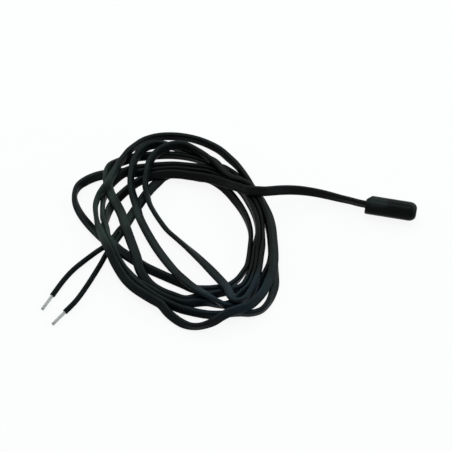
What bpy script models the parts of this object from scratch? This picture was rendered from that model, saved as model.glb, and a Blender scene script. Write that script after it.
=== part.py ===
# Temperature probe: a moulded sensor head on a flat twin cable.
# The cable lies in a loose coil and ends in two insulated leads with bare tips.
# Metres, +Z up. The head lies on the surface z = 0, its axis along X and its tip towards +X.
# The origin is on the surface, under the middle of the head.

from math import atan2, cos, hypot, pi, radians, sin

import bmesh
import bpy
import numpy as np

MM = 0.001

# Gap kept between pieces that touch, or that slip into each other
CLEARANCE = 0.25 * MM

# Moulded head
HEAD_LENGTH = 17.7 * MM
HEAD_DIAMETER = 6.6 * MM
HEAD_TIP_ROUND = 2.0 * MM
HEAD_SHOULDER = 1.4 * MM
HEAD_COLLAR_WALL = 0.4 * MM
HEAD_TIP_WALL = 1.5 * MM

# Flat twin cable: two round cores side by side
CABLE_WIDTH = 3.4 * MM
CABLE_THICKNESS = 1.7 * MM
CABLE_IN_HEAD = 4.0 * MM
CONDUCTOR_DIAMETER = 0.5 * MM
CONDUCTOR_BARE = 1.6 * MM

# Joints between the conductors and the sensor's legs
SPLICE_DIAMETER = 0.6 * MM
SPLICE_LENGTH = 2.2 * MM
SLEEVE_WALL = 0.15 * MM
SLEEVE_OVERLAP = 0.6 * MM

# Sensor
BEAD_DIAMETER = 2.6 * MM
BEAD_LENGTH = 2.8 * MM
LEG_DIAMETER = 0.3 * MM
LEG_PITCH_AT_BEAD = 0.8 * MM

# Separated leads and their bare tips
LEAD_DIAMETER = 1.7 * MM
LEAD_LIFT = 0.05 * MM
WIRE_TIP_DIAMETER = 1.1 * MM
WIRE_TIP_LENGTH = 5.8 * MM

# Coil
COIL_HEIGHT = 10.5 * MM
COIL_EDGE_ROUND = 1.0 * MM

# Facets
ROUND_SEGMENTS = 48
ROUND_STEPS = 8
SMALL_SEGMENTS = 16
COIL_SEGMENTS = 72
CURVE_BEVEL_STEPS = 2
SHARP_ANGLE = radians(35)

# Worked out from the sizes above
HEAD_RADIUS = HEAD_DIAMETER / 2
HEAD_BACK = -HEAD_LENGTH / 2
HEAD_FRONT = HEAD_LENGTH / 2
CORE_OFFSET = (CABLE_WIDTH - CABLE_THICKNESS) / 2
JACKET_END = HEAD_BACK + CABLE_IN_HEAD
CONDUCTOR_START = JACKET_END + CLEARANCE
CONDUCTOR_END = CONDUCTOR_START + CONDUCTOR_BARE
SPLICE_START = CONDUCTOR_END + CLEARANCE
SPLICE_END = SPLICE_START + SPLICE_LENGTH
SLEEVE_BORE_RADIUS = SPLICE_DIAMETER / 2 + CLEARANCE
SLEEVE_RADIUS = SLEEVE_BORE_RADIUS + SLEEVE_WALL
SPLICE_OFFSET = SLEEVE_RADIUS + CLEARANCE / 2
BEAD_FRONT = HEAD_FRONT - HEAD_TIP_WALL - CLEARANCE
BEAD_BACK = BEAD_FRONT - BEAD_LENGTH
LEG_START = SPLICE_END + CLEARANCE
LEG_END = BEAD_BACK - CLEARANCE
SLEEVE_END = SPLICE_END + SLEEVE_OVERLAP
SLEEVE_POCKET_RADIUS = SPLICE_OFFSET + SLEEVE_RADIUS + CLEARANCE
LEG_POCKET_RADIUS = SPLICE_OFFSET + LEG_DIAMETER / 2 + CLEARANCE
BEAD_POCKET_RADIUS = BEAD_DIAMETER / 2 + CLEARANCE
SLOT_HALF_HEIGHT = CABLE_WIDTH / 2 + CLEARANCE
SLOT_HALF_WIDTH = CABLE_THICKNESS / 2 + CLEARANCE
END_FACE_RADIUS = SLOT_HALF_HEIGHT + HEAD_COLLAR_WALL

# Route of the free run, from the coil to the head: x, y, z in mm, and the lean in degrees.
# The lean is the angle of the cable's width from upright, its top edge towards the left.
RUN_ROUTE = (
    (-43.9, -4.8, 8.9, 55),
    (-42.4, -4.2, 8.5, 58),
    (-38.5, -2.3, 7.2, 58),
    (-34.6, -0.5, 5.8, 44),
    (-30.6, 0.75, 4.4, 31),
    (-26.4, 1.5, 3.2, 23),
    (-22.2, 1.7, 2.4, 15),
    (-18.0, 1.5, 2.0, 6),
    (-14.6, 0.95, 2.5, 0),
    (-12.2, 0.4, 2.95, 0),
    (-10.3, 0.06, 3.25, 0),
    (-9.1, 0.0, 3.3, 0),
)

# Routes of the separated leads on the surface, from the coil outwards: x, y in mm
LEAD_ROUTES = {
    "a": (
        (-96.6, -34.3),
        (-97.3, -35.2),
        (-100.0, -38.5),
        (-102.8, -42.6),
        (-105.2, -47.3),
        (-107.6, -53.6),
    ),
    "b": (
        (-93.7, -37.4),
        (-94.3, -39.5),
        (-96.0, -45.1),
        (-97.7, -50.1),
        (-99.5, -54.5),
        (-102.0, -58.9),
    ),
}

# Outline of the coil and of the opening inside its turns, seen from above: x, y in mm
COIL_CENTRE = (-62.5, -18.8)
COIL_OUTLINE = (
    (-36.4, -18.8),
    (-43.1, -7.6),
    (-50.5, 2.0),
    (-55.3, 8.1),
    (-62.5, 13.7),
    (-71.9, 15.6),
    (-82.4, 14.6),
    (-91.5, 10.2),
    (-99.2, 2.6),
    (-107.5, -6.0),
    (-110.2, -18.0),
    (-102.5, -28.0),
    (-93.4, -36.6),
    (-87.6, -43.9),
    (-80.4, -49.8),
    (-72.0, -54.6),
    (-62.0, -59.4),
    (-52.0, -58.2),
    (-43.0, -53.2),
    (-35.4, -45.4),
    (-32.2, -36.5),
    (-33.4, -26.5),
)
COIL_OPENING = (
    (-46.5, -18.3),
    (-50.9, -11.5),
    (-56.5, -6.0),
    (-63.0, -1.8),
    (-70.4, -1.6),
    (-77.1, -2.4),
    (-80.7, -7.0),
    (-78.5, -14.0),
    (-69.0, -22.6),
    (-61.5, -29.1),
    (-55.2, -35.1),
    (-49.5, -38.5),
    (-46.4, -33.5),
    (-45.0, -26.0),
)

RUN_STEP = 3.0 * MM
LEAD_STEP = 3.2 * MM
OUTLINE_STEP = 2.0 * MM


def clear_scene():
    for obj in list(bpy.data.objects):
        bpy.data.objects.remove(obj, do_unlink=True)


def make_material(name, colour, roughness, metallic=0.0):
    material = bpy.data.materials.new(name)
    material.use_nodes = True
    shader = material.node_tree.nodes["Principled BSDF"]
    shader.inputs["Base Color"].default_value = (*colour, 1.0)
    shader.inputs["Roughness"].default_value = roughness
    shader.inputs["Metallic"].default_value = metallic
    return material


def add_object(name, data, material, parent=None):
    obj = bpy.data.objects.new(name, data)
    bpy.context.scene.collection.objects.link(obj)
    if material is not None:
        data.materials.append(material)
    obj.parent = parent
    return obj


def add_empty(name, location):
    empty = bpy.data.objects.new(name, None)
    bpy.context.scene.collection.objects.link(empty)
    empty.location = location
    return empty


def mesh_from(bm, name):
    """A mesh with its faces turned outwards and its round faces shaded smooth."""
    bmesh.ops.recalc_face_normals(bm, faces=bm.faces)
    mesh = bpy.data.meshes.new(name)
    bm.to_mesh(mesh)
    bm.free()
    mesh.shade_smooth()
    mesh.set_sharp_from_angle(angle=SHARP_ANGLE)
    return mesh


def ellipse_arc(centre, radii, start, end, steps):
    """Points (x, r) on an ellipse from one angle to another, both ends included."""
    angles = [start + (end - start) * i / steps for i in range(steps + 1)]
    return [(centre[0] + radii[0] * cos(a), centre[1] + radii[1] * sin(a)) for a in angles]


def turned(name, profile, material, segments, parent, closed=False):
    """A body turned about its own X axis from (x, r) points."""
    bm = bmesh.new()
    verts = [bm.verts.new((x, 0.0, r)) for x, r in profile]
    edges = [bm.edges.new(pair) for pair in zip(verts, verts[1:])]
    if closed:
        edges.append(bm.edges.new((verts[-1], verts[0])))
    bmesh.ops.spin(
        bm,
        geom=verts + edges,
        cent=(0, 0, 0),
        axis=(1, 0, 0),
        angle=2 * pi,
        steps=segments,
        use_duplicate=False,
    )
    bmesh.ops.remove_doubles(bm, verts=bm.verts, dist=MM / 1000)
    return add_object(name, mesh_from(bm, name), material, parent)


def smooth_points(points, closed=False, per_span=12):
    """A Catmull-Rom curve through the points, which may carry any number of values each."""
    given = np.array(points, float)
    if closed:
        padded = np.vstack([given[-1], given, given[0], given[1]])
    else:
        padded = np.vstack([2 * given[0] - given[1], given, 2 * given[-1] - given[-2]])
    made = []
    for p0, p1, p2, p3 in zip(padded, padded[1:], padded[2:], padded[3:]):
        for t in np.arange(per_span) / per_span:
            made.append(
                0.5
                * (
                    2 * p1
                    + (p2 - p0) * t
                    + (2 * p0 - 5 * p1 + 4 * p2 - p3) * t**2
                    + (3 * p1 - p0 - 3 * p2 + p3) * t**3
                )
            )
    if not closed:
        made.append(given[-1])
    return np.array(made)


def evenly(points, step, dimensions=3):
    """The same curve with points at equal steps along it."""
    gaps = np.linalg.norm(np.diff(points[:, :dimensions], axis=0), axis=1)
    along = np.concatenate([[0.0], np.cumsum(gaps)])
    count = max(2, round(along[-1] / step) + 1)
    wanted = np.linspace(0.0, along[-1], count)
    return np.column_stack([np.interp(wanted, along, column) for column in points.T])


def swept(name, route, material, radius, half_flat=0.0, parent=None):
    """A round tube, or a flat one with round edges, along x, y, z and lean in radians."""
    curve = bpy.data.curves.new(name, "CURVE")
    curve.dimensions = "3D"
    curve.twist_mode = "Z_UP"
    curve.bevel_depth = radius
    curve.bevel_resolution = CURVE_BEVEL_STEPS
    curve.extrude = half_flat
    curve.use_fill_caps = True
    spline = curve.splines.new("POLY")
    spline.points.add(len(route) - 1)
    for point, (x, y, z, lean) in zip(spline.points, route):
        point.co = (x, y, z, 1.0)
        point.tilt = lean
    spline.use_smooth = True
    return add_object(name, curve, material, parent)


def flat_cable(name, route, material, parent=None):
    return swept(name, route, material, CABLE_THICKNESS / 2, CORE_OFFSET, parent)


def rod(name, start, end, diameter, material, parent):
    return swept(name, [(*start, 0.0), (*end, 0.0)], material, diameter / 2, 0.0, parent)


def cut(target, cutter):
    cutter.hide_render = True
    cutter.display_type = "WIRE"
    modifier = target.modifiers.new(cutter.name, "BOOLEAN")
    modifier.operation = "DIFFERENCE"
    modifier.solver = "EXACT"
    modifier.object = cutter


def slot_mesh(name, start, end):
    """A prism with the cable's own outline and a clearance round it, along X."""
    bm = bmesh.new()
    centre = SLOT_HALF_HEIGHT - SLOT_HALF_WIDTH
    radii = (SLOT_HALF_WIDTH, SLOT_HALF_WIDTH)
    outline = ellipse_arc((0.0, centre), radii, 0.0, pi, ROUND_STEPS)
    outline += ellipse_arc((0.0, -centre), radii, pi, 2 * pi, ROUND_STEPS)
    face = bm.faces.new([bm.verts.new((start, y, z)) for y, z in outline])
    made = bmesh.ops.extrude_face_region(bm, geom=[face])
    moved = [item for item in made["geom"] if isinstance(item, bmesh.types.BMVert)]
    bmesh.ops.translate(bm, verts=moved, vec=(end - start, 0.0, 0.0))
    return mesh_from(bm, name)


def build_head(parent, material):
    """The moulded head: shoulder, straight barrel and rounded tip, with its stepped pocket."""
    shoulder = ellipse_arc(
        (HEAD_BACK + HEAD_SHOULDER, END_FACE_RADIUS),
        (HEAD_SHOULDER, HEAD_RADIUS - END_FACE_RADIUS),
        pi,
        pi / 2,
        ROUND_STEPS,
    )
    tip = ellipse_arc(
        (HEAD_FRONT - HEAD_TIP_ROUND, HEAD_RADIUS - HEAD_TIP_ROUND),
        (HEAD_TIP_ROUND, HEAD_TIP_ROUND),
        pi / 2,
        0.0,
        ROUND_STEPS,
    )
    profile = [(HEAD_BACK, 0.0), *shoulder, *tip, (HEAD_FRONT, 0.0)]
    head = turned("head_shell", profile, material, ROUND_SEGMENTS, parent)

    bead_end = ellipse_arc(
        (BEAD_FRONT - BEAD_DIAMETER / 2, 0.0),
        (BEAD_POCKET_RADIUS, BEAD_POCKET_RADIUS),
        pi / 2,
        0.0,
        ROUND_STEPS,
    )
    pocket = [
        (JACKET_END, 0.0),
        (JACKET_END, SLEEVE_POCKET_RADIUS),
        (SLEEVE_END + CLEARANCE, SLEEVE_POCKET_RADIUS),
        (SLEEVE_END + CLEARANCE, LEG_POCKET_RADIUS),
        (BEAD_BACK - CLEARANCE, LEG_POCKET_RADIUS),
        (BEAD_BACK - CLEARANCE, BEAD_POCKET_RADIUS),
        *bead_end,
    ]
    cut(head, turned("pocket_cutter", pocket, None, ROUND_SEGMENTS, parent))

    slot = slot_mesh("slot_cutter", HEAD_BACK - CABLE_THICKNESS, JACKET_END + CABLE_THICKNESS / 2)
    cut(head, add_object("slot_cutter", slot, None, parent))


def build_jacket_end(parent, material):
    flat_cable("cable_in_head", [(HEAD_BACK, 0, 0, 0), (JACKET_END, 0, 0, 0)], material, parent)


def build_joint(side, sign, parent, copper, solder, tubing):
    """One conductor with its splice, its sleeve and the sensor leg that it is joined to."""
    offset = sign * SPLICE_OFFSET
    rod(
        f"conductor_{side}",
        (CONDUCTOR_START, 0.0, sign * CORE_OFFSET),
        (CONDUCTOR_END, 0.0, offset),
        CONDUCTOR_DIAMETER,
        copper,
        parent,
    )
    radius = SPLICE_DIAMETER / 2
    half = SPLICE_LENGTH / 2
    back = ellipse_arc((radius - half, 0.0), (radius, radius), pi, pi / 2, ROUND_STEPS // 2)
    front = ellipse_arc((half - radius, 0.0), (radius, radius), pi / 2, 0.0, ROUND_STEPS // 2)
    splice = turned(f"splice_{side}", back + front, solder, SMALL_SEGMENTS, parent)
    splice.location = ((SPLICE_START + SPLICE_END) / 2, 0.0, offset)

    reach = half + SLEEVE_OVERLAP
    wall = [
        (-reach, SLEEVE_BORE_RADIUS),
        (reach, SLEEVE_BORE_RADIUS),
        (reach, SLEEVE_RADIUS),
        (-reach, SLEEVE_RADIUS),
    ]
    sleeve = turned(f"sleeve_{side}", wall, tubing, SMALL_SEGMENTS, parent, closed=True)
    sleeve.location = splice.location

    rod(
        f"sensor_leg_{side}",
        (LEG_START, 0.0, offset),
        (LEG_END, 0.0, sign * LEG_PITCH_AT_BEAD / 2),
        LEG_DIAMETER,
        solder,
        parent,
    )


def build_bead(parent, material):
    """A resin drop: round in front, drawn out towards its legs."""
    radius = BEAD_DIAMETER / 2
    widest = BEAD_FRONT - radius
    neck = LEG_PITCH_AT_BEAD / 2 + LEG_DIAMETER
    back = ellipse_arc((widest, neck), (widest - BEAD_BACK, radius - neck), pi, pi / 2, ROUND_STEPS)
    front = ellipse_arc((widest, 0.0), (radius, radius), pi / 2, 0.0, ROUND_STEPS)
    profile = [(BEAD_BACK, 0.0), *back, *front[1:]]
    turned("sensor_bead", profile, material, SMALL_SEGMENTS * 2, parent)


def build_run(material):
    """The free run, read from the smooth curve through its own points."""
    route = smooth_points(RUN_ROUTE)
    route[:, :3] *= MM
    route[:, 3] = np.radians(route[:, 3])
    flat_cable("cable_run", evenly(route, RUN_STEP), material)


def polar_radii(outline, angles):
    """How far the smooth closed outline lies from the coil's centre at each angle."""
    points = smooth_points(outline, closed=True) * MM
    across = points - np.array(COIL_CENTRE) * MM
    at = np.array([atan2(y, x) for x, y in across])
    far = np.array([hypot(x, y) for x, y in across])
    order = np.argsort(at)
    return np.interp(angles, at[order], far[order], period=2 * pi)


def coil_section(inner, outer):
    """The rounded section of the coil at one angle, as (r, z) points."""
    edge = COIL_EDGE_ROUND
    corners = (
        (outer - edge, edge, -pi / 2),
        (outer - edge, COIL_HEIGHT - edge, 0.0),
        (inner + edge, COIL_HEIGHT - edge, pi / 2),
        (inner + edge, edge, pi),
    )
    section = []
    for r, z, start in corners:
        section += ellipse_arc((r, z), (edge, edge), start, start + pi / 2, CURVE_BEVEL_STEPS)
    return section


def build_coil(material):
    """The outer form of the coiled turns, round the opening inside them."""
    angles = np.linspace(-pi, pi, COIL_SEGMENTS, endpoint=False)
    outer = polar_radii(COIL_OUTLINE, angles)
    inner = polar_radii(COIL_OPENING, angles)
    bm = bmesh.new()
    rings = []
    for angle, low, high in zip(angles, inner, outer):
        ring = []
        for r, z in coil_section(low, high):
            ring.append(bm.verts.new((r * cos(angle), r * sin(angle), z)))
        rings.append(ring)
    for ring, following in zip(rings, rings[1:] + rings[:1]):
        for i in range(len(ring)):
            j = (i + 1) % len(ring)
            bm.faces.new((ring[i], following[i], following[j], ring[j]))
    coil = add_object("cable_coil", mesh_from(bm, "cable_coil"), material)
    coil.location = (COIL_CENTRE[0] * MM, COIL_CENTRE[1] * MM, 0.0)


def build_lead(side, jacket, tin):
    """One separated lead on the surface, and its bare tip in line with its end."""
    height = LEAD_DIAMETER / 2 + LEAD_LIFT
    plan = evenly(smooth_points(LEAD_ROUTES[side]) * MM, LEAD_STEP, 2)
    route = [(x, y, height, 0.0) for x, y in plan]
    swept(f"lead_{side}", route, jacket, LEAD_DIAMETER / 2)

    end = plan[-1]
    ahead = (end - plan[-2]) / np.linalg.norm(end - plan[-2])
    start = end + ahead * CLEARANCE
    stop = start + ahead * WIRE_TIP_LENGTH
    rod(f"wire_tip_{side}", (*start, height), (*stop, height), WIRE_TIP_DIAMETER, tin, None)


def main():
    clear_scene()
    moulding = make_material("moulding_black", (0.012, 0.014, 0.015), 0.38)
    jacket = make_material("jacket_black", (0.016, 0.018, 0.020), 0.48)
    copper = make_material("tinned_copper", (0.62, 0.58, 0.52), 0.35, 1.0)
    solder = make_material("solder", (0.55, 0.55, 0.56), 0.30, 1.0)
    tubing = make_material("sleeve_clear", (0.62, 0.60, 0.52), 0.45)
    resin = make_material("sensor_resin", (0.02, 0.02, 0.022), 0.25)

    head_axis = add_empty("head_axis", (0.0, 0.0, HEAD_RADIUS))
    build_head(head_axis, moulding)
    build_jacket_end(head_axis, jacket)
    for side, sign in (("a", 1), ("b", -1)):
        build_joint(side, sign, head_axis, copper, solder, tubing)
    build_bead(head_axis, resin)
    build_run(jacket)
    build_coil(jacket)
    for side in LEAD_ROUTES:
        build_lead(side, jacket, copper)


main()
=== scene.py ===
import math

import bpy
import numpy as np
from mathutils import Matrix


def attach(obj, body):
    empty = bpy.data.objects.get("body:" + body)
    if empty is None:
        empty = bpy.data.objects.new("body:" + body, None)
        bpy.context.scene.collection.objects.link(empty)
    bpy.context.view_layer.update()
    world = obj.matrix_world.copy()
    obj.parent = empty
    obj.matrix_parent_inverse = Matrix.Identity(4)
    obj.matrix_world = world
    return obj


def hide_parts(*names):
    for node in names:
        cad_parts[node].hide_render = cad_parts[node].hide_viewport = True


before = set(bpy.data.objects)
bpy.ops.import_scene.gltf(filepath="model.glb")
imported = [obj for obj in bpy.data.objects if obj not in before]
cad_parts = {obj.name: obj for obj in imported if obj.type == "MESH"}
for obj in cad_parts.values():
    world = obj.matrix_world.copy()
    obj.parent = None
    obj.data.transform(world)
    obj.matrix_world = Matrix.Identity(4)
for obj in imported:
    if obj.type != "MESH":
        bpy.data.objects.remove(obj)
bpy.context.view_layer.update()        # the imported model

mm = 0.001
print("temperature probe: frame loaded")

# Camera. The same numbers turn a place in the picture into a place on the surface.
cameraSet = dict(
    elevation=60.0,           # degrees above the surface
    turn=10.6,                # degrees round from the Y axis
    distance=700.0,           # mm from the aim
    aim=(-55.0, -15.5, 0.0),  # mm
    pixel=0.345,              # mm for one pixel at the aim
    picture=452,              # pixels on each side
    sensor=36.0,              # mm
    clip=(0.01, 20.0),        # m
)


def cameraAxes():
    up = math.radians(cameraSet["elevation"])
    side = math.radians(cameraSet["turn"])
    right = np.array([math.cos(side), math.sin(side), 0.0])
    ahead = np.array([-math.sin(side), math.cos(side), 0.0])
    view = ahead * math.cos(up) - np.array([0.0, 0.0, math.sin(up)])
    return right, np.cross(right, view), view


rightAxis, upAxis, viewAxis = cameraAxes()
eye = np.array(cameraSet["aim"]) - cameraSet["distance"] * viewAxis


def fromPicture(across, down, height):
    # mm, on the level plane at that height
    middle = cameraSet["picture"] / 2
    reach = cameraSet["distance"] / cameraSet["pixel"]
    ray = viewAxis * reach + rightAxis * (across - middle) - upAxis * (down - middle)
    return eye + ray * (height - eye[2]) / ray[2]


def addCamera():
    lens = bpy.data.cameras.new("photoCamera")
    width = cameraSet["pixel"] * cameraSet["picture"]
    lens.sensor_width = cameraSet["sensor"]
    lens.lens = cameraSet["sensor"] * cameraSet["distance"] / width
    lens.clip_start, lens.clip_end = cameraSet["clip"]
    camera = bpy.data.objects.new("photoCamera", lens)
    bpy.context.scene.collection.objects.link(camera)
    turned = Matrix([rightAxis, upAxis, -viewAxis]).transposed().to_4x4()
    camera.matrix_world = Matrix.Translation(eye * mm) @ turned
    bpy.context.scene.camera = camera


addCamera()
print("camera set")

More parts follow.
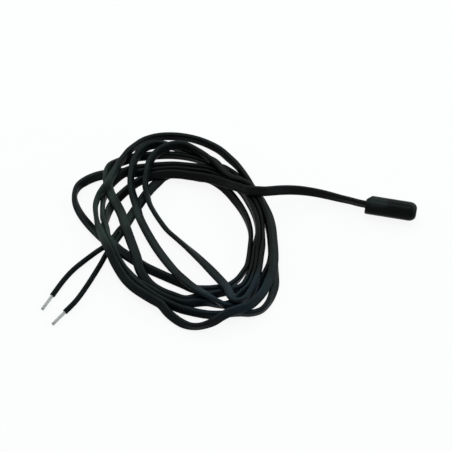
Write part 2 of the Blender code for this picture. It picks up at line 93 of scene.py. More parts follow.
# The cable, pass by pass from the bare leads to the head: across and down in pixels, height of
# the middle in mm, lean of the width from upright in degrees. The points were read off the
# picture and corrected with measurements of the cable's edges in it. Heights are judged from
# which pass crosses over which.
coilPasses = dict(
    firstTurn=[
        (109.4, 247, 0.8, 90), (112.5, 242.3, 0.8, 90), (118, 235, 0.8, 90), (125, 226, 0.8, 90),
        (131, 216.5, 0.8, 90), (137.5, 207, 0.8, 85), (143.7, 198.1, 0.8, 80), (149.6, 190.1, 0.9, 80),
        (156.6, 182.3, 1, 75), (163.9, 175.3, 1.2, 65), (174, 171.6, 1.4, 45), (186, 174, 1.5, 30),
        (198, 177, 1.5, 30), (209.4, 178.8, 1.5, 38), (220, 184.7, 1.5, 38), (228.4, 192.2, 1.5, 38),
        (235.3, 200.6, 1.5, 30), (241.9, 209.9, 1.5, 20), (247.4, 220.4, 1.5, 10),
        (250.8, 231.5, 1.5, 2), (251.8, 243, 1.5, 0), (251.9, 254.8, 1.5, 0), (248.9, 265.3, 1.5, 0),
        (243.4, 273.2, 1.5, 0), (236.4, 281.1, 1.5, 0), (227, 287, 1.5, 0), (216, 288.6, 1.5, 0),
        (206, 289.5, 1.5, -10), (194.5, 289, 1.5, -28), (182.6, 283.3, 1.5, -38),
        (169.8, 278.2, 1.5, -36), (156.9, 272.8, 1.4, -40), (144.4, 266.8, 1.4, -50),
        (132, 258.9, 1.2, -62), (119.9, 251.2, 1.1, -80), (109, 243, 1.1, -80), (98.6, 235, 1.2, 58),
        (89.7, 225.7, 1.3, 60), (81.6, 215.6, 1.5, 50), (76.2, 205.3, 1.5, 30), (74.7, 195, 1.5, 2),
        (78.3, 186.8, 1.4, 21), (85.7, 181.3, 1.3, 42), (95, 177.3, 1.1, 46), (105, 174.9, 1, 50)],
    secondTurn=[
        (116, 173.5, 1.2, 48), (128, 172.3, 1.4, 44), (141, 171.8, 1.5, 32), (155, 171, 1.6, 20),
        (169, 170.5, 1.6, 10), (183, 170.5, 1.6, 5), (197, 171, 1.6, 0), (209, 172.5, 1.6, 0),
        (220, 176, 1.6, 5), (230, 180.5, 1.6, 10), (238, 186.3, 1.7, 25), (244.3, 194, 2, 30),
        (249.2, 202.4, 2.2, 25), (253.7, 211.3, 2.2, 18), (257.3, 221, 2.2, 12), (258.7, 231, 2.2, 5),
        (258, 241.2, 2, 0), (255, 251, 1.8, 0), (253.3, 261, 1.6, 0), (251.8, 270.8, 1.5, 0),
        (248.3, 279.2, 1.5, -8), (242.3, 287.4, 1.6, -15), (230.5, 290.4, 2, -22),
        (219.5, 293, 2.2, -20), (208, 296, 2.2, -35), (197.8, 297.9, 2.2, -40),
        (185.5, 300.9, 2.2, -38), (172, 297.1, 2.2, -38), (158.8, 292.6, 2.4, -45),
        (148.2, 284.1, 2.8, -72), (140, 271, 3.4, 95), (137, 259.2, 3.6, 90), (133.2, 248.2, 3.4, 90),
        (129.1, 237, 3.2, 90), (125.2, 226, 3.4, 90), (121.8, 215.4, 3.8, 90)],
    thirdTurn=[
        (117.3, 206.2, 4, 92), (112.4, 198.2, 4.6, 90), (108.8, 190.3, 5, 80), (107.5, 182.3, 5, 60),
        (107.2, 174.8, 4.4, 45), (110.6, 168.1, 3.8, 42), (117.5, 163.6, 3.2, 50), (126, 159.8, 3, 46),
        (136, 156.9, 3, 32), (147, 155.8, 3, 24), (158, 155.1, 3, 18), (170, 155, 3, 10),
        (182, 156, 3, 5), (194, 158.3, 3, 0), (206, 161.8, 3, 0), (217, 166.3, 3, 0),
        (227, 171, 3.2, 0), (236, 176.3, 3.6, 0), (244, 183, 4.2, 0), (250.5, 191, 4.8, 0),
        (256, 200, 5, 0), (260.5, 209.5, 5, 0), (265.3, 219.8, 3.6, 0), (269, 230.8, 3.2, 0),
        (270.9, 242, 3, 0), (271.4, 253, 3, 0), (270, 264.5, 3.2, -20), (265.3, 275, 3.6, -40),
        (259, 284.6, 4, -48), (252, 293.6, 4, -48), (244.5, 301.6, 4.2, -40), (236, 306, 4.4, -22),
        (226, 305.4, 4.9, -5), (217.3, 301, 5.4, 18), (208, 295.4, 5.6, 38), (197.6, 290.1, 5.4, 50),
        (186.3, 282.6, 4.8, 54), (176.2, 273.5, 4.2, 60), (166.3, 261.8, 4, 64), (157.7, 250.3, 4, 63),
        (150.4, 238.8, 4.2, 61), (144.2, 227.7, 4.4, 56), (139, 216.6, 4.6, 53)],
    fourthTurn=[
        (136.5, 206.9, 4.6, 52), (133.7, 198.2, 4.6, 48), (131.4, 189, 4.8, 38), (130.7, 180, 5, 24),
        (131.5, 171, 5, 20), (133.3, 163, 5, 22), (137.2, 155.8, 5, 26), (141.7, 150.2, 5, 30),
        (147.8, 146.4, 4.8, 34), (155, 144.4, 4.6, 30), (163, 144.5, 4.4, 15), (172, 146.5, 4.2, 0),
        (182, 149.8, 4.2, 0), (193, 153.5, 4.2, 0), (204, 157.7, 4.2, 0), (214.6, 163.8, 4.2, 0),
        (223.6, 171, 4.4, 0), (232.3, 177.7, 4.8, 0), (242, 181.5, 5.2, 0), (248.5, 189.5, 5.8, 0),
        (253.5, 198.5, 6, 0), (257.7, 208, 5.8, 0), (259.6, 218, 5.4, 0), (260.2, 228, 5, 0),
        (260.2, 238, 4.8, 0), (260, 248, 4.6, 0), (259.7, 258, 4.6, 0), (258.9, 267, 4.6, 0),
        (257.6, 276, 4.8, -10), (255, 284.5, 5, -25), (250.6, 293, 5.2, -28), (244.8, 299.2, 5.4, 0),
        (236.2, 301, 5.6, 30), (230.6, 296.2, 5.8, 58), (228, 289.4, 5.8, 58), (222.6, 283, 5.6, 68),
        (213.5, 273.2, 5.2, 69), (204.4, 263.9, 4.6, 57), (194.9, 254.9, 4.2, 46),
        (185.5, 246.6, 4, 31), (176.2, 238.6, 4, 23), (167.2, 230.6, 4.2, 20), (160, 221.4, 4.4, 19)],
    fifthTurn=[
        (153.9, 212.2, 4.6, 16), (149.3, 203.6, 4.8, 14), (147, 195, 5, 13), (145.1, 187, 5.6, 12),
        (145.6, 179, 6, 14), (147.2, 171, 6.2, 18), (148.9, 163.6, 6.2, 22), (152.6, 157, 6.2, 24),
        (157.8, 151.9, 6, 22), (165, 147.7, 6, 27), (174, 145.1, 5.8, 28), (184, 145.4, 5.6, 20),
        (194, 149.4, 5.6, 8), (204, 155, 5.6, 0), (213.3, 162.2, 5.6, 0), (221.9, 171, 5.8, 0),
        (231, 178.2, 6.4, 0), (242.8, 182.8, 7.2, 0), (252.6, 188.6, 8, -10), (259.5, 196.4, 8.2, -28),
        (264.5, 205.8, 7.8, -45), (268.9, 215.8, 7.2, -58), (271.8, 226.8, 6.8, -60),
        (273, 238, 6.5, -60), (273.9, 249, 6.3, -60), (274.1, 260, 6.2, -60), (272.8, 271.2, 6, -52),
        (268.9, 281, 6, -45), (264.6, 290.1, 6, -42), (257.8, 298.8, 6, -42), (249.6, 305.7, 6, -42),
        (239.6, 309.6, 6.2, -40), (229.6, 312.6, 6.6, -42), (221.8, 316.7, 6.4, -36),
        (214.8, 321.4, 6, -25), (207, 324.8, 5, -10), (198.5, 326.8, 4.4, -2), (190, 326.5, 4, -8),
        (181.8, 323.6, 4, -28), (173.9, 318.5, 4.2, -38), (166.6, 311.9, 4.6, -40),
        (160.2, 304.2, 5, -40), (151.3, 299, 5.2, -42), (142.2, 293.6, 5.4, -45),
        (133, 287.2, 5.4, -48), (125, 279.3, 5.4, -50), (118.8, 269.8, 5.6, -50),
        (113.7, 259.6, 6, -50), (109.8, 250, 6.6, -48), (105.6, 241.3, 6.6, -40),
        (101.3, 232.3, 6, -25)],
    sixthTurn=[
        (97.6, 223.6, 5.4, -8), (95.8, 214.6, 5, 2), (95.5, 205.5, 4.8, 4), (98.6, 197.2, 5, 6),
        (102.8, 190.6, 6, 10), (107.5, 184.5, 6.8, 18), (111.2, 177.2, 7, 20), (115.2, 170.3, 6.8, 20),
        (119, 163.3, 6.8, 15), (123.5, 157.3, 6.6, 10), (128.4, 151.4, 6.2, 6), (134.8, 146.1, 5.8, 5),
        (142.3, 141.1, 5.4, 6), (151.4, 137.8, 5, 7), (161, 136.2, 5, 10), (171, 135.9, 5, 12),
        (181, 136.5, 5, 9), (191, 138.2, 5, 9), (200.9, 141, 5, 13), (210.9, 145.2, 5, 17),
        (220.1, 150.4, 5, 19), (228.5, 157.7, 5.2, 21), (236.2, 165.2, 5.6, 14), (241.9, 173.4, 6, 10),
        (247, 181.8, 6.2, 5), (251.8, 190, 6, 0), (258, 197.1, 5.6, 0), (264, 206, 5, 0),
        (269, 216, 4.4, 0), (272.3, 227.2, 4, 0), (273.8, 239, 3.8, 0), (274.8, 250.5, 3.6, 0),
        (275.6, 262, 3.6, 0), (275.6, 273, 3.8, -25), (275.2, 284, 3.8, -42), (272.7, 293.8, 3.6, -35),
        (268.5, 303, 3.4, -10), (261.2, 310.6, 3.4, 0), (250.6, 313.5, 3.4, 0), (240.5, 313.3, 3.4, 0),
        (230, 314, 3.4, 0), (219.5, 315, 3.4, -10), (209, 315.1, 3.4, -20), (199, 313.6, 3.6, -25),
        (189.5, 311.5, 3.8, -28), (180, 309, 4, -30), (170.3, 305, 4, -35), (159.5, 299.8, 4, -38),
        (148.5, 292.8, 4, -40), (138.2, 284.8, 4, -42), (129.5, 277, 4.2, -45),
        (122.3, 267.3, 4.6, -45), (115.8, 257.3, 5, -42), (111, 247, 5.2, -35), (106.8, 236.8, 5, -20)],
    seventhTurn=[
        (104.7, 227, 4.6, -5), (103.3, 217.5, 4.2, 0), (102.5, 208, 3.9, 0), (102.9, 199.2, 3.6, 8),
        (106, 191.3, 3.2, 20), (110, 184.3, 3, 30), (115.7, 178.6, 3, 38), (122.8, 173.7, 3.1, 38),
        (132, 170.3, 3.2, 24), (143, 168.5, 3.3, 12), (156, 166.6, 3.3, 8), (170, 166.8, 3.2, 5),
        (184, 167.4, 3.2, 0), (197, 167.6, 3.2, 0), (209, 168.6, 3.2, 0), (220, 172.2, 3.2, 0),
        (230, 177, 3.4, 0), (238.5, 183, 3.8, 5), (245.5, 190.5, 4.4, 10), (251, 199.5, 4.8, 5),
        (255.2, 209, 4.8, 0), (258.2, 219, 4.6, 0), (259.1, 229, 4.4, 0), (259.1, 239, 4.2, 0),
        (258.2, 249, 4, 0), (256.8, 258.5, 3.8, 0), (255.3, 267.8, 3.6, 0), (253, 276.5, 3.4, -20),
        (250, 285.2, 3.4, -35), (244.4, 291.4, 3.4, -45), (238.6, 297, 3.4, -42),
        (233, 302.8, 3.4, -20), (224.5, 305.6, 3.4, -5), (216.3, 305, 3.2, 0), (207, 302.6, 3.2, -14),
        (196.5, 302.4, 3.2, -36), (184.5, 303.2, 3.2, -38), (172, 300.2, 3.2, -40),
        (160, 295, 3.2, -42), (149, 288.7, 3.2, -42), (137.5, 282.8, 3.4, -42),
        (128.3, 274.6, 3.6, -45), (120.3, 265.5, 4, -45), (114.5, 254.5, 4.2, -40),
        (109.8, 242, 4, -35)],
    lastTurn=[
        (103.2, 231.6, 3.6, -15), (104.8, 221.6, 2.8, 8), (107.6, 213, 2.1, 26),
        (112.3, 204.8, 1.8, 34), (120.3, 196.4, 1.8, 34), (128, 189.5, 1.9, 30), (136.3, 183.3, 2, 26),
        (146.8, 178.3, 2.2, 28), (158, 175.6, 2.6, 36), (169, 174.1, 3.2, 48), (180, 174.2, 3.8, 45),
        (191, 175.6, 4.4, 45), (202.2, 176.9, 5, 45), (213.3, 179.2, 5.8, 50), (224.4, 182.3, 6.6, 52),
        (235.2, 185.9, 7.8, 58), (244, 188.9, 8.5, 58), (250, 190.4, 9, 56)],
)
cableSet = dict(
    width=3.4,            # mm
    thickness=1.7,        # mm
    groove=0.02,          # mm, between the two cores
    ringStep=0.8,         # mm
    curveStep=0.25,       # mm, of the smooth curve through the drawn points
    endRounds=9,          # points round each edge
    flatPoints=7,         # points across each flat side
    waves=0.03,           # how much the thickness swells and shrinks, as a part of it
    longWave=7.7,         # mm
    shortWave=3.1,        # mm
    waveFade=12.0,        # mm at both ends where the waves fade out
    splitRing=8,          # where the two cores part from each other
    creased=60,           # degrees, an edge above which stays sharp
)
# the free run's points from the source: x, y, z in metres, lean in degrees
runRoute = [
    (-0.0439, -0.00465, 0.0089, 55),
    (-0.0424, -0.00405, 0.0085, 58),
    (-0.0385, -0.00215, 0.0072, 58),
    (-0.0346, -0.0005, 0.0058, 44),
    (-0.0306, 0.00075, 0.0044, 31),
    (-0.0264, 0.0015, 0.0032, 23),
    (-0.0222, 0.0017, 0.0024, 15),
    (-0.0180, 0.0015, 0.0020, 6),
    (-0.0146, 0.00095, 0.0025, 0),
    (-0.0122, 0.0004, 0.00295, 0),
    (-0.0103, 0.00006, 0.00325, 0),
    (-0.0091, 0.0, 0.0033, 0),
]
insideHead = [(-0.0076, 0.0, 0.0033, 0), (-0.0062, 0.0, 0.0033, 0), (-0.00485, 0.0, 0.0033, 0)]


def smoothCurve(points, step):
    given = np.array(points, float)
    padded = np.vstack([2 * given[0] - given[1], given, 2 * given[-1] - given[-2]])
    made = []
    for p0, p1, p2, p3 in zip(padded, padded[1:], padded[2:], padded[3:]):
        count = max(2, int(np.linalg.norm((p2 - p1)[:3]) / step))
        t = (np.arange(count) / count)[:, None]
        square, cube = t * t, t * t * t
        made.append(0.5 * (2 * p1 + (p2 - p0) * t + (2 * p0 - 5 * p1 + 4 * p2 - p3) * square
                           + (3 * p1 - p0 - 3 * p2 + p3) * cube))
    return np.vstack(made + [given[-1:]])


def evenly(points, step):
    gaps = np.linalg.norm(np.diff(points[:, :3], axis=0), axis=1)
    along = np.concatenate([[0.0], np.cumsum(gaps)])
    wanted = np.linspace(0.0, along[-1], int(along[-1] / step) + 1)
    return np.column_stack([np.interp(wanted, along, column) for column in points.T])


def tracedRoute():
    traced = []
    for points in coilPasses.values():
        traced += [(*fromPicture(across, down, height), lean) for across, down, height, lean in points]
    run = [(x / mm, y / mm, z / mm, lean) for x, y, z, lean in runRoute + insideHead]
    points = np.array(traced + run)
    points[:, 3] = np.unwrap(points[:, 3], period=180)    # the cable turns the shorter way
    route = evenly(smoothCurve(points, cableSet["curveStep"]), cableSet["ringStep"])
    route[:, 3] = np.radians(route[:, 3])
    return route


def unit(v):
    return v / np.linalg.norm(v, axis=-1, keepdims=True)


def widthAxes(centres, leans):
    # the way that the cable's width points, turned by its lean from upright
    ahead = unit(np.gradient(centres, axis=0))
    upright = unit(np.array([0.0, 0.0, 1.0]) - ahead * ahead[:, 2:3])
    left = np.cross(upright, ahead)
    return upright * np.cos(leans)[:, None] + left * np.sin(leans)[:, None]


# Settling: the two cores are rows of beads that push each other apart, sink under their
# weight and stay on the line of sight of the drawn route
settleSet = dict(
    rounds=320,
    quickRounds=40,
    heldEnd=42.0,     # mm of the run that keeps its drawn place
    heldBlend=15,     # rings over which the hold lets go
    spare=0.02,       # mm kept between the cores
    reach=2.8,        # mm within which two beads are watched
    block=600,        # beads whose distances are worked out at a time
    renew=10,         # rounds between two looks for beads that are close
    apart=8,          # rings between two beads that may touch
    give=0.9,         # part of an overlap that one round takes away
    sink=0.015,       # mm for each round
    sinkUntil=0.6,    # part of the rounds
    pull=0.03,        # back to the drawn route, across the line of sight
    firm=0.2,         # how well the drawn lean is kept
)


def closeBeads(beads, rings):
    found = []
    block = settleSet["block"]
    reach = settleSet["reach"] ** 2
    for first in range(0, len(beads), block):
        gaps = ((beads[first:first + block, None, :] - beads[None, :, :]) ** 2).sum(2)
        one, other = np.nonzero(gaps < reach)
        one += first
        keep = (other > one) & (np.abs(rings[one] - rings[other]) > settleSet["apart"])
        found.append(np.stack([one[keep], other[keep]], 1))
    return np.concatenate(found).T


def eased(rows):
    for _ in range(2):
        middle = 0.25 * rows[:-2] + 0.5 * rows[1:-1] + 0.25 * rows[2:]
        rows = np.concatenate([rows[:1], middle, rows[-1:]])
    return rows


def settled(route):
    radius = cableSet["thickness"] / 2
    half = (cableSet["width"] - cableSet["thickness"]) / 2
    centres, count = route[:, :3], len(route)
    width = widthAxes(centres, route[:, 3])
    drawn = np.vstack([centres + width * half, centres - width * half])
    drawn[:, 2] = np.maximum(drawn[:, 2], radius)
    rings = np.tile(np.arange(count), 2)
    free = np.ones(count)
    held = int(settleSet["heldEnd"] / cableSet["ringStep"])
    free[count - held:] = 0
    free[count - held - settleSet["heldBlend"]:count - held] = np.linspace(1, 0, settleSet["heldBlend"])
    free = np.tile(free, 2)[:, None]
    beads = drawn.copy()
    rounds = settleSet["rounds"]
    for turn in range(rounds):
        if turn % settleSet["renew"] == 0:
            near = closeBeads(beads, rings)
        one, other = near
        away = beads[one] - beads[other]
        gap = np.linalg.norm(away, axis=1)
        deep = 2 * radius + settleSet["spare"] - gap
        hit = deep > 0
        one, other, away, gap, deep = one[hit], other[hit], away[hit], gap[hit], deep[hit]
        push = away / np.maximum(gap, 1e-6)[:, None] * (deep * 0.5)[:, None]
        move, touches = np.zeros_like(beads), np.zeros(len(beads))
        np.add.at(move, one, push)
        np.add.at(move, other, -push)
        np.add.at(touches, one, 1)
        np.add.at(touches, other, 1)
        beads = beads + settleSet["give"] * move / np.maximum(touches, 1)[:, None] * free
        if turn < rounds * settleSet["sinkUntil"]:
            beads = beads + viewAxis * settleSet["sink"] * free
        shift = beads - drawn
        sight = (shift @ viewAxis)[:, None] * viewAxis
        shift = sight + (shift - sight) * (1 - settleSet["pull"])
        beads = drawn + np.vstack([eased(shift[:count]), eased(shift[count:])])
        middle = (beads[:count] + beads[count:]) / 2
        across = unit(unit(beads[:count] - beads[count:]) + settleSet["firm"] * width)
        beads = np.vstack([middle + across * half, middle - across * half])
        beads[:, 2] = np.maximum(beads[:, 2], radius + settleSet["spare"])
    return beads[:count], beads[count:]


def cableSection():
    # a flat twin cable's outline as (across the width, through the thickness), in mm
    radius = cableSet["thickness"] / 2
    half = (cableSet["width"] - cableSet["thickness"]) / 2
    turns = np.linspace(-math.pi / 2, math.pi / 2, cableSet["endRounds"])
    across = np.linspace(half, -half, cableSet["flatPoints"] + 2)[1:-1]
    dip = cableSet["groove"] * np.cos(across / half * math.pi / 2) ** 2
    edge = np.column_stack([half + radius * np.cos(turns), radius * np.sin(turns)])
    side = np.column_stack([across, radius - dip])
    return np.vstack([edge, side, -edge, -side])


def meshPiece(name, points, faces, straight, creased):
    mesh = bpy.data.meshes.new(name)
    mesh.from_pydata([tuple(p * mm) for p in points], [], faces)
    mesh.validate()
    mesh.shade_smooth()
    if straight is not None:
        # the place of each point on the straightened piece, for grain that runs along it
        layer = mesh.attributes.new("straight", "FLOAT_VECTOR", "POINT")
        layer.data.foreach_set("vector", np.asarray(straight, np.float32).ravel())
    mesh.set_sharp_from_angle(angle=math.radians(creased))
    piece = bpy.data.objects.new(name, mesh)
    bpy.context.scene.collection.objects.link(piece)
    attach(piece, "root")
    return piece


def tubeFaces(rings, sides, start=0):
    # a closed tube, its two ends capped
    faces = []
    for ring in range(rings - 1):
        low = start + ring * sides
        for side in range(sides):
            after = (side + 1) % sides
            faces.append((low + side, low + after, low + sides + after, low + sides + side))
    faces.append(tuple(range(start + sides - 1, start - 1, -1)))
    last = start + (rings - 1) * sides
    faces.append(tuple(range(last, last + sides)))
    return faces


def addCable(left, right):
    section = cableSection()
    centres = (left + right) / 2
    width = unit(left - right)
    ahead = unit(np.gradient(centres, axis=0))
    through = unit(np.cross(ahead, width))
    along = np.concatenate([[0.0], np.cumsum(np.linalg.norm(np.diff(centres, axis=0), axis=1))])
    # the jacket is never quite even: long shallow waves that fade out at both ends
    fade = np.clip(np.minimum(along, along[-1] - along) / cableSet["waveFade"], 0, 1)
    swell = np.sin(along / cableSet["shortWave"]) + 0.6 * np.sin(along / cableSet["longWave"] + 1.0)
    wave = cableSet["waves"] * fade * swell / 1.6
    points, straight = [], []
    for ring, centre in enumerate(centres):
        place = centre + section[:, :1] * width[ring] + section[:, 1:] * (1 + wave[ring]) * through[ring]
        points.append(place)
        straight.append(np.column_stack([np.full(len(section), along[ring]), section]) * mm)
    points, straight = np.vstack(points), np.vstack(straight)
    faces = tubeFaces(len(centres), len(section))
    piece = meshPiece("flatCable", points, faces, straight, cableSet["creased"])
    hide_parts("cable_coil", "cable_run", "cable_in_head")
    [tuple(c * mm) for c in centres]
    return piece


leftCore, rightCore = settled(tracedRoute())
flatCable = addCable(leftCore[cableSet["splitRing"]:], rightCore[cableSet["splitRing"]:])

# The separated leads and their bare tips
leadSet = dict(
    diameter=1.85,     # mm, a little swollen where the cable is split
    step=0.5,          # mm
    curveStep=0.1,     # mm, of the smooth curve through the points
    sides=16,
    overlap=2,         # rings that run back into the flat cable
    lift=0.05,         # mm above the surface, as in the source
    leastLift=0.01,    # mm
    endRound=0.12,     # part of the last step over which the cut end is rounded
    endShare=0.93,     # the cut end's radius, as a part of the lead's
    creased=50,        # degrees, an edge above which stays sharp
)
tipSet = dict(
    length=5.8,        # mm
    gap=0.25,          # mm between the lead's end and its tip, in the source
    inside=0.8,        # mm that the strands reach back into the lead
    rings=26,
    sides=10,
    outer=6,           # strands laid round one in the middle
    strand=0.38,       # mm
    strandTurn=15.0,   # mm for one twist
    splay=0.04,        # mm that the strands open at the end
    uneven=0.18,       # mm that the strands' ends differ in length
    unevenTurn=2.4,    # radians from one strand's difference to the next one's
    endShare=0.55,     # a strand's radius at its cut end, as a part of its own
    creased=50,        # degrees, an edge above which stays sharp
)
# the leads' points from the source: x, y in metres
leadRoutes = dict(
    a=[(-0.0943, -0.0319), (-0.0956, -0.0332), (-0.0969, -0.0347), (-0.0999, -0.0385),
       (-0.1028, -0.0426), (-0.1052, -0.0473), (-0.1076, -0.0536)],
    b=[(-0.0929, -0.0339), (-0.0933, -0.0353), (-0.0943, -0.0393), (-0.0960, -0.0450),
       (-0.0977, -0.0501), (-0.0995, -0.0545), (-0.1020, -0.0589)],
)


def tubeRings(centres, radii, sides):
    ahead = unit(np.gradient(centres, axis=0))
    upright = unit(np.array([0.0, 0.0, 1.0]) - ahead * ahead[:, 2:3])
    left = np.cross(upright, ahead)
    turns = np.arange(sides) / sides * 2 * math.pi
    outwards = np.cos(turns)[None, :, None] * left[:, None, :]
    outwards = outwards + np.sin(turns)[None, :, None] * upright[:, None, :]
    points = centres[:, None, :] + radii[:, None, None] * outwards
    gaps = np.linalg.norm(np.diff(centres, axis=0), axis=1)
    along = np.concatenate([[0.0], np.cumsum(gaps)])
    straight = np.empty_like(points)
    straight[:, :, 0] = along[:, None]
    straight[:, :, 1] = radii[:, None] * np.cos(turns)
    straight[:, :, 2] = radii[:, None] * np.sin(turns)
    return points.reshape(-1, 3), straight.reshape(-1, 3) * mm


def addLead(side, core):
    radius = leadSet["diameter"] / 2
    flat = [(x / mm, y / mm, radius + leadSet["lift"]) for x, y in leadRoutes[side]]
    inside = [tuple(core[ring]) for ring in range(cableSet["splitRing"] + leadSet["overlap"], -1, -2)]
    route = evenly(smoothCurve(inside + flat, leadSet["curveStep"]), leadSet["step"])
    # on the surface, not in it
    route[:, 2] = np.maximum(route[:, 2], radius + leadSet["leastLift"])
    radii = np.full(len(route), radius)
    # the cut end of the jacket is slightly rounded
    beforeEnd = route[-1] - (route[-1] - route[-2]) * leadSet["endRound"]
    route = np.vstack([route[:-1], beforeEnd, route[-1]])
    radii = np.concatenate([radii, [radius * leadSet["endShare"]]])
    points, straight = tubeRings(route, radii, leadSet["sides"])
    name = dict(a="leadLeft", b="leadRight")[side]
    faces = tubeFaces(len(route), leadSet["sides"])
    lead = meshPiece(name, points, faces, straight, leadSet["creased"])
    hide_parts("lead_" + side)
    ahead = unit(route[-1] - route[-3])
    tip = addTip(side, route[-1], ahead)
    length = np.linalg.norm(np.diff(route, axis=0), axis=1).sum() * mm
    print(name, round(length, 4), "m and its bare tip")
    return lead, tip


def addTip(side, start, ahead):
    # seven tinned strands, six laid round one
    length = tipSet["length"] + tipSet["gap"]
    count, sides = tipSet["rings"], tipSet["sides"]
    along = np.linspace(-tipSet["inside"], length, count)
    share = np.clip(along / length, 0, 1)
    left = unit(np.cross([0.0, 0.0, 1.0], ahead))
    upright = np.cross(ahead, left)
    strand = tipSet["strand"] / 2
    allPoints, allStraight, faces = [], [], []
    for number in range(tipSet["outer"] + 1):
        turn = number * 2 * math.pi / tipSet["outer"] + along / tipSet["strandTurn"] * 2 * math.pi
        spread = 0.0 if number == tipSet["outer"] else 2 * strand
        opened = spread * (1 + tipSet["splay"] / (2 * strand) * share ** 3)
        shorter = tipSet["uneven"] * math.sin(number * tipSet["unevenTurn"])
        line = start + (along + shorter * share)[:, None] * ahead
        line = line + (opened * np.cos(turn))[:, None] * left
        line = line + (opened * np.sin(turn))[:, None] * upright
        radii = np.full(count, strand)
        radii[-1] = strand * tipSet["endShare"]
        points, straight = tubeRings(line, radii, sides)
        faces += tubeFaces(count, sides, start=len(allPoints) * count * sides)
        allPoints.append(points)
        allStraight.append(straight)
    name = dict(a="tipLeft", b="tipRight")[side]
    tip = meshPiece(name, np.vstack(allPoints), faces, np.vstack(allStraight), tipSet["creased"])
    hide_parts("wire_tip_" + side)
    return tip


leads = [addLead("a", leftCore), addLead("b", rightCore)]

# The moulded head
headSet = dict(
    length=17.7,       # mm, as the sizes below
    diameter=6.6,
    height=3.3,        # of its axis
    tipRound=2.0,      # radius less that of the flat end
    tipReach=2.6,      # along the head
    shoulder=(0.7, 1.2),      # along the head, and how much longer it is on the upper side
    endFace=(2.8, 1.1),       # radius, and how much less it is on the upper side
    upperSide=(0.86, 0.50),   # its direction, Y and Z
    lip=0.22,          # rounding where the moulding meets the cable
    lipDepth=1.2,      # how far the moulding goes on along the cable inside
    lipGap=0.015,      # between the moulding and the cable
    sides=96,
    mouthSteps=6,
    shoulderSteps=12,
    barrelSteps=40,
    tipSteps=14,
    faceShares=(0.35, 0.7),          # rings on the flat at the cable
    tipShares=(0.66, 0.33, 0.08),    # rings on the flat end
    seam=0.025,        # how high the parting line stands up
    seamWidth=0.09,    # radians
    sink=0.03,         # shallow hollows between the wires inside
    sinkFrom=2.3,      # distance from the axis where hollows and seam begin
    sinkBlend=0.6,
    creased=40,        # degrees, an edge above which stays sharp
    farthest=3.0,      # more than the cable's outline reaches from its middle
    halvings=26,       # of that distance, to find the outline
)


def headRing(x, radius, slotShare=0.0):
    # a round ring, or one that turns towards the cable's own outline
    turns = np.arange(headSet["sides"]) / headSet["sides"] * 2 * math.pi
    direction = np.column_stack([np.cos(turns), np.sin(turns)])
    half = (cableSet["width"] - cableSet["thickness"]) / 2
    edge = cableSet["thickness"] / 2
    # the flat cable stands upright in the head, so its long way is Z
    reach = []
    for y, z in direction:
        low, high = 0.0, headSet["farthest"]
        for _ in range(headSet["halvings"]):
            test = (low + high) / 2
            outside = math.hypot(y * test, max(abs(z * test) - half, 0.0)) > edge
            low, high = (low, test) if outside else (test, high)
        reach.append(low)
    reach = np.array(reach)
    mixed = radius * (1 - slotShare) + (reach + radius) * slotShare
    return np.column_stack([np.broadcast_to(x, len(turns)), direction * mixed[:, None]])


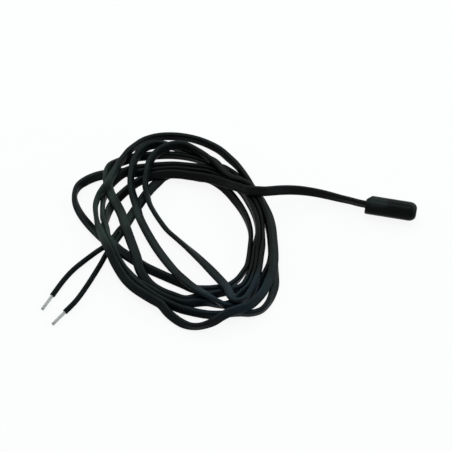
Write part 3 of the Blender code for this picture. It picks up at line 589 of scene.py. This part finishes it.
def addHead():
    back, front = -headSet["length"] / 2, headSet["length"] / 2
    full = headSet["diameter"] / 2
    rings = []
    # the mouth that grips the cable: (x, how far outside the cable's own outline)
    rings.append(headRing(back + headSet["lipDepth"], headSet["lipGap"], 1.0))
    for step in range(headSet["mouthSteps"] + 1):
        angle = step / headSet["mouthSteps"] * math.pi / 2
        rings.append(headRing(back + headSet["lip"] * (1 - math.sin(angle)),
                              headSet["lipGap"] + headSet["lip"] * (1 - math.cos(angle)), 1.0))
    mouth = rings[-1][:, 1:]
    spread = headRing(0.0, 1.0)[:, 1:]
    upper = np.clip(spread @ np.array(headSet["upperSide"]), 0, 1) ** 2
    shoulder = headSet["shoulder"][0] + headSet["shoulder"][1] * upper
    endFace = headSet["endFace"][0] - headSet["endFace"][1] * upper
    faceRing = headRing(back, endFace)[:, 1:]
    for share in headSet["faceShares"]:
        flat = mouth * (1 - share) + faceRing * share
        rings.append(np.column_stack([np.full(len(flat), back), flat]))
    for step in range(headSet["shoulderSteps"] + 1):
        share = step / headSet["shoulderSteps"]
        angle = share * math.pi / 2
        # rounded, but nearly a straight bevel on the upper side
        out = math.sin(angle) * (1 - upper) + share * upper
        along = (1 - math.cos(angle)) * (1 - upper) + share * upper
        rings.append(headRing(back + shoulder * along, endFace + (full - endFace) * out))
    straightStart, straightEnd = back + shoulder, front - headSet["tipReach"]
    for step in range(1, headSet["barrelSteps"]):
        x = straightStart + (straightEnd - straightStart) * step / headSet["barrelSteps"]
        rings.append(headRing(x, full))
    inner = full - headSet["tipRound"]
    for step in range(headSet["tipSteps"] + 1):
        angle = step / headSet["tipSteps"] * math.pi / 2
        rings.append(headRing(straightEnd + headSet["tipReach"] * math.sin(angle),
                              inner + headSet["tipRound"] * math.cos(angle)))
    for share in headSet["tipShares"]:
        rings.append(headRing(front, inner * share))
    points = np.vstack(rings)
    # shallow hollows from the moulding's shrinkage, and the parting line along both sides
    turns = np.arctan2(points[:, 2], points[:, 1])
    size = np.hypot(points[:, 1], points[:, 2])
    body = np.clip((size - headSet["sinkFrom"]) / headSet["sinkBlend"], 0, 1)
    along = (points[:, 0] - back) / headSet["length"]
    hollow = headSet["sink"] * body * np.sin(along * math.pi) * (
        0.6 * np.cos(2 * turns + 0.5) + 0.4 * np.sin(along * 11 + turns))
    offSeam = np.minimum(np.abs(turns), math.pi - np.abs(turns))
    seam = headSet["seam"] * np.exp(-(offSeam / headSet["seamWidth"]) ** 2) * body
    grown = 1 + (seam - np.abs(hollow)) / np.maximum(size, 0.1)
    points[:, 1:] *= grown[:, None]
    points[:, 2] += headSet["height"]
    faces = tubeFaces(len(rings), headSet["sides"])
    head = meshPiece("headMoulding", points, faces, None, headSet["creased"])
    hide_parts("head_shell")
    return head


head = addHead()
print("head moulded")


# Materials: a socket that takes part in sums
class Socket:
    def __init__(self, tree, out=None):
        self.tree = tree
        self.out = out

    def node(self, kind, settings=None, values=None, give=0):
        made = self.tree.nodes.new("ShaderNode" + kind)
        for name, value in (settings or {}).items():
            setattr(made, name, value)
        for name, value in (values or {}).items():
            if isinstance(value, Socket):
                self.tree.links.new(value.out, made.inputs[name])
            else:
                made.inputs[name].default_value = value
        return Socket(self.tree, made.outputs[give] if len(made.outputs) else None)

    def sum(self, operation, first, second):
        return self.node("Math", dict(operation=operation), {0: first, 1: second})

    def __add__(self, other):
        return self.sum("ADD", self, other)

    def __radd__(self, other):
        return self.sum("ADD", other, self)

    def __sub__(self, other):
        return self.sum("SUBTRACT", self, other)

    def __rsub__(self, other):
        return self.sum("SUBTRACT", other, self)

    def __mul__(self, other):
        return self.sum("MULTIPLY", self, other)

    def __rmul__(self, other):
        return self.sum("MULTIPLY", other, self)

    def clamp(self, low=0.0, high=1.0):
        return self.node("Clamp", None, {0: self, 1: low, 2: high})

    def ramp(self, low, high):
        # 0 below low, 1 above high
        return self.node("MapRange", dict(interpolation_type="SMOOTHSTEP"), {0: self, 1: low, 2: high})

    def mix(self, first, second):
        return self.node("Mix", dict(data_type="RGBA"), {0: self, 6: first, 7: second}, 2)

    def noise(self, place, scale, detail=3.0, rough=0.5):
        return self.node("TexNoise", None, {"Vector": place, "Scale": scale, "Detail": detail,
                                            "Roughness": rough})

    def stretched(self, place, amounts):
        return self.node("VectorMath", dict(operation="MULTIPLY"), {0: place, 1: amounts})

    def place(self):
        return self.node("TexCoord", None, None, 3)

    def straight(self):
        return self.node("Attribute", dict(attribute_name="straight"), None, 1)

    def near(self, place, spots, height=4.0):
        # 1 in the middle of the spots, 0 outside them; a spot is x, y and reach in mm
        share = 0.0
        for x, y, reach in spots:
            middle = (x * mm, y * mm, height * mm)
            away = self.node("VectorMath", dict(operation="DISTANCE"), {0: place, 1: middle}, 1)
            share = share + (1 - away.ramp(0.25 * reach * mm, reach * mm))
        return share.clamp()

    def bump(self, height, distance, strength=1.0):
        return self.node("Bump", None, {"Height": height, "Distance": distance, "Strength": strength})


def newMaterial(name):
    material = bpy.data.materials.new(name)
    material.use_nodes = True
    material.node_tree.nodes.clear()
    return material, Socket(material.node_tree)


def finishMaterial(sheet, **values):
    shader = sheet.node("BsdfPrincipled", None, values)
    sheet.node("OutputMaterial", None, {"Surface": shader})


def colour(r, g, b):
    return (r, g, b, 1.0)


jacketLook = dict(
    lineScale=5200.0,
    patchScale=420.0,
    grainScale=9000.0,
    speckScale=2600.0,
    strandScale=90.0,
    bump=0.00004,       # m
    dark=colour(0.0014, 0.0022, 0.0026),
    light=colour(0.0038, 0.0058, 0.0066),
    dust=colour(0.025, 0.029, 0.028),
    roughLow=0.38,
    roughHigh=0.50,
    shine=0.064,
    leadShine=0.033,    # the separated cores are duller
    # painted light and shade on the jacket: broad areas of painted highlight, painted blue reflection and
    # painted shade; x, y and reach of each area in mm
    paintedHighlight=colour(0.0150, 0.0215, 0.0185),
    paintedHighlightSpots=[(-98.5, -8.0, 10), (-98.5, -17.0, 8), (-95.0, -29.0, 9), (-88.0, -20.0, 6)],
    # painted blue reflection, in broad areas
    paintedBlueReflection=colour(0.0065, 0.0115, 0.0155),
    paintedBlueReflectionSpots=[(-46.0, -45.0, 12), (-40.0, -38.5, 7), (-57.0, -47.5, 9)],
    # painted shade: darker broad areas
    paintedShade=colour(0.0003, 0.0004, 0.0004),
    paintedShadeSpots=[(-74.0, 0.0, 15), (-59.0, 1.0, 14), (-45.5, -6.0, 15), (-44.0, -20.0, 13),
                (-44.0, -30.0, 9), (-30.0, 1.0, 14), (-14.0, 1.5, 14)],
)


def jacketMaterial(name, shine):
    material, sheet = newMaterial(name)
    lay, place = sheet.straight(), sheet.place()
    # extruder lines run along the cable, mottling and dust lie on it as they fall
    lines = sheet.noise(sheet.stretched(lay, (0.03, 1.0, 1.0)), jacketLook["lineScale"], 2.0)
    patches = sheet.noise(lay, jacketLook["patchScale"], 4.0, 0.6)
    grain = sheet.noise(place, jacketLook["grainScale"], 2.0)
    specks = sheet.noise(place, jacketLook["speckScale"], 4.0, 0.7).ramp(0.68, 0.78)
    strands = sheet.node("TexWave", dict(bands_direction="X"), {
        "Vector": lay, "Scale": jacketLook["strandScale"], "Distortion": 3.0, "Detail": 2.0})
    base = patches.ramp(0.3, 0.75).mix(jacketLook["dark"], jacketLook["light"])
    # paint the broad areas of painted shade, painted blue reflection and painted highlight over the jacket's
    # colour
    for area in ("paintedShade", "paintedBlueReflection", "paintedHighlight"):
        base = sheet.near(place, jacketLook[area + "Spots"]).mix(base, jacketLook[area])
    base = (specks * 0.5).mix(base, jacketLook["dust"])
    rough = jacketLook["roughLow"] + (jacketLook["roughHigh"] - jacketLook["roughLow"]) * (
        0.6 * patches + 0.4 * lines)
    height = 0.5 * lines + 0.25 * grain + 0.5 * strands * patches + 0.3 * specks
    finishMaterial(sheet, **{
        "Base Color": base,
        "Roughness": (rough + specks * 0.25).clamp(0.05, 1.0),
        "Normal": sheet.bump(height, jacketLook["bump"], 0.5),
        "Specular IOR Level": shine,
    })
    return material


headLook = dict(
    flowScale=900.0,
    grainScale=7000.0,
    patchScale=500.0,
    scuffScale=5200.0,
    bump=0.00001,       # m
    dark=colour(0.0010, 0.0013, 0.0013),
    light=colour(0.0022, 0.0028, 0.0028),
    scuff=colour(0.014, 0.016, 0.016),
    roughLow=0.26,
    roughHigh=0.36,
    shine=0.050,
    # a painted highlight on the upper side, towards the cable: x, y and reach in mm
    paintedHighlight=colour(0.0095, 0.0125, 0.0120),
    paintedHighlightSpots=[(-6.0, -0.4, 3.1), (-3.2, -0.2, 2.8)],
    paintedHighlightHeight=6.5,
)


def headMaterial():
    material, sheet = newMaterial("headMouldedPlastic")
    place = sheet.place()
    flow = sheet.noise(sheet.stretched(place, (0.25, 1.0, 1.0)), headLook["flowScale"], 3.0)
    grain = sheet.noise(place, headLook["grainScale"], 3.0, 0.6)
    patches = sheet.noise(place, headLook["patchScale"], 4.0, 0.6)
    scuffs = sheet.noise(sheet.stretched(place, (1.0, 0.2, 0.5)), headLook["scuffScale"], 3.0, 0.7)
    scuffs = scuffs.ramp(0.66, 0.76)
    base = patches.ramp(0.3, 0.75).mix(headLook["dark"], headLook["light"])
    # painted highlight on the upper side, towards the cable
    base = sheet.near(place, headLook["paintedHighlightSpots"], headLook["paintedHighlightHeight"]).mix(base, headLook["paintedHighlight"])
    base = (scuffs * 0.4).mix(base, headLook["scuff"])
    rough = headLook["roughLow"] + (headLook["roughHigh"] - headLook["roughLow"]) * (
        0.55 * patches + 0.45 * flow)
    finishMaterial(sheet, **{
        "Base Color": base,
        "Roughness": (rough + scuffs * 0.2).clamp(0.05, 1.0),
        "Normal": sheet.bump(0.4 * grain + 0.6 * flow + 0.3 * scuffs, headLook["bump"], 0.3),
        "Specular IOR Level": headLook["shine"],
    })
    return material


tinLook = dict(
    bright=colour(0.345, 0.332, 0.332),
    dull=colour(0.295, 0.285, 0.285),
    roughLow=0.58,
    roughMore=0.14,
    bump=0.00001,       # m
)


def tinMaterial(name, bright, dull, scale=6000.0):
    material, sheet = newMaterial(name)
    place = sheet.place()
    patches = sheet.noise(place, scale * 0.2, 3.0, 0.6)
    grain = sheet.noise(sheet.stretched(place, (1.0, 1.0, 0.4)), scale, 3.0)
    finishMaterial(sheet, **{
        "Base Color": patches.ramp(0.3, 0.75).mix(dull, bright),
        "Metallic": 1.0,
        "Roughness": tinLook["roughLow"] + tinLook["roughMore"] * patches,
        "Normal": sheet.bump(grain, tinLook["bump"], 0.3),
    })
    return material


def plainMaterial(name, dark, light, rough, scale=1500.0):
    material, sheet = newMaterial(name)
    place = sheet.place()
    patches = sheet.noise(place, scale, 4.0, 0.6)
    grain = sheet.noise(place, scale * 5, 2.0)
    finishMaterial(sheet, **{
        "Base Color": patches.ramp(0.3, 0.7).mix(dark, light),
        "Roughness": rough + 0.15 * patches,
        "Normal": sheet.bump(grain, 0.00003, 0.4),
    })
    return material


jacket = jacketMaterial("jacketVinyl", jacketLook["shine"])
leadJacket = jacketMaterial("leadVinyl", jacketLook["leadShine"])
tin = tinMaterial("tinnedCopper", tinLook["bright"], tinLook["dull"])
finishes = {
    "conductor": tin,
    "splice": tinMaterial("solderJoint", colour(0.56, 0.55, 0.52), colour(0.34, 0.33, 0.31), 3000.0),
    "sensor_leg": tin,
    "sleeve": plainMaterial("milkySleeve", colour(0.52, 0.50, 0.43), colour(0.62, 0.60, 0.52), 0.4),
    "sensor_bead": plainMaterial("beadResin", colour(0.010, 0.010, 0.009), colour(0.03, 0.028, 0.022), 0.22),
}


def dress(piece, material):
    piece.data.materials.clear()
    piece.data.materials.append(material)


for lead, tip in leads:
    dress(lead, leadJacket)
    dress(tip, tin)
dress(flatCable, jacket)
dress(head, headMaterial())
for nodeName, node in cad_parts.items():
    for start, material in finishes.items():
        if nodeName.startswith(start) and node.type == "MESH":
            for slot in node.material_slots:
                slot.material = material
print("materials set")

# Floor, lamps and world
studioSet = dict(
    floorSize=6.0,       # m
    floorColour=colour(0.88, 0.872, 0.872),
    floorGlow=0.9,       # part of the floor that the camera sees as plain white
    world=0.12,
    lamps=[
        # name, place and aim in m, size in m, watts, colour
        ("overheadSoftbox", (-0.08, 0.24, 1.10), (-0.05, -0.02, 0.0), (0.9, 0.42), 4.3, (0.87, 1.0, 0.97)),
        ("upperSoftbox", (-0.42, 0.62, 0.82), (-0.05, -0.02, 0.0), (0.6, 0.5), 3.6, (0.78, 1.0, 0.94)),
        ("backSoftbox", (0.53, 0.82, 0.41), (-0.05, -0.02, 0.0), (1.3, 0.6), 8.4, (0.80, 1.0, 0.97)),
        ("rightSoftbox", (0.96, 0.07, 0.41), (-0.05, -0.02, 0.0), (0.7, 0.55), 4.0, (0.62, 0.92, 1.0)),
        ("leftSoftbox", (-1.03, 0.24, 0.46), (-0.05, -0.02, 0.0), (1.2, 0.55), 5.4, (0.80, 1.0, 0.93)),
    ],
)


def seenWhite(sheet):
    # rays from the camera, a mirror or through glass see white there
    rays = [sheet.node("LightPath", None, None, name) for name in
            ("Is Camera Ray", "Is Glossy Ray", "Is Transmission Ray")]
    return rays[0].sum("MAXIMUM", rays[0], rays[1].sum("MAXIMUM", rays[1], rays[2]))


def addFloor():
    mesh = bpy.data.meshes.new("studioFloor")
    half = studioSet["floorSize"] / 2
    corners = [(-half, -half, 0), (half, -half, 0), (half, half, 0), (-half, half, 0)]
    mesh.from_pydata(corners, [], [(0, 1, 2, 3)])
    floor = bpy.data.objects.new("studioFloor", mesh)
    bpy.context.scene.collection.objects.link(floor)
    material, sheet = newMaterial("studioPaper")
    paper = sheet.node("BsdfDiffuse", None, {"Color": studioSet["floorColour"]})
    glow = sheet.node("Emission", None, {"Color": colour(1, 1, 1), "Strength": 1.0})
    surface = sheet.node("MixShader", None, {
        0: studioSet["floorGlow"] * seenWhite(sheet), 1: paper, 2: glow})
    sheet.node("OutputMaterial", None, {"Surface": surface})
    dress(floor, material)


def addWorld():
    world = bpy.data.worlds.new("studioWorld")
    bpy.context.scene.world = world
    world.use_nodes = True
    world.node_tree.nodes.clear()
    sheet = Socket(world.node_tree)
    grey = studioSet["world"]
    seen = seenWhite(sheet).mix(colour(grey, grey, grey), colour(1, 1, 1))
    sky = sheet.node("Background", None, {"Color": seen, "Strength": 1.0})
    sheet.node("OutputWorld", None, {"Surface": sky})


def addLamps():
    for name, place, aim, size, watts, tint in studioSet["lamps"]:
        lamp = bpy.data.lights.new(name, "AREA")
        lamp.shape = "RECTANGLE"
        lamp.size, lamp.size_y = size
        lamp.energy = watts
        lamp.color = tint
        holder = bpy.data.objects.new(name, lamp)
        bpy.context.scene.collection.objects.link(holder)
        back = unit(np.array(place) - np.array(aim))
        side = unit(np.cross([0.0, 0.0, 1.0], back))
        turned = Matrix([side, np.cross(back, side), back]).transposed().to_4x4()
        holder.matrix_world = Matrix.Translation(place) @ turned


addFloor()
addWorld()
addLamps()
bpy.context.scene.view_settings.view_transform = "Standard"
print("studio set")
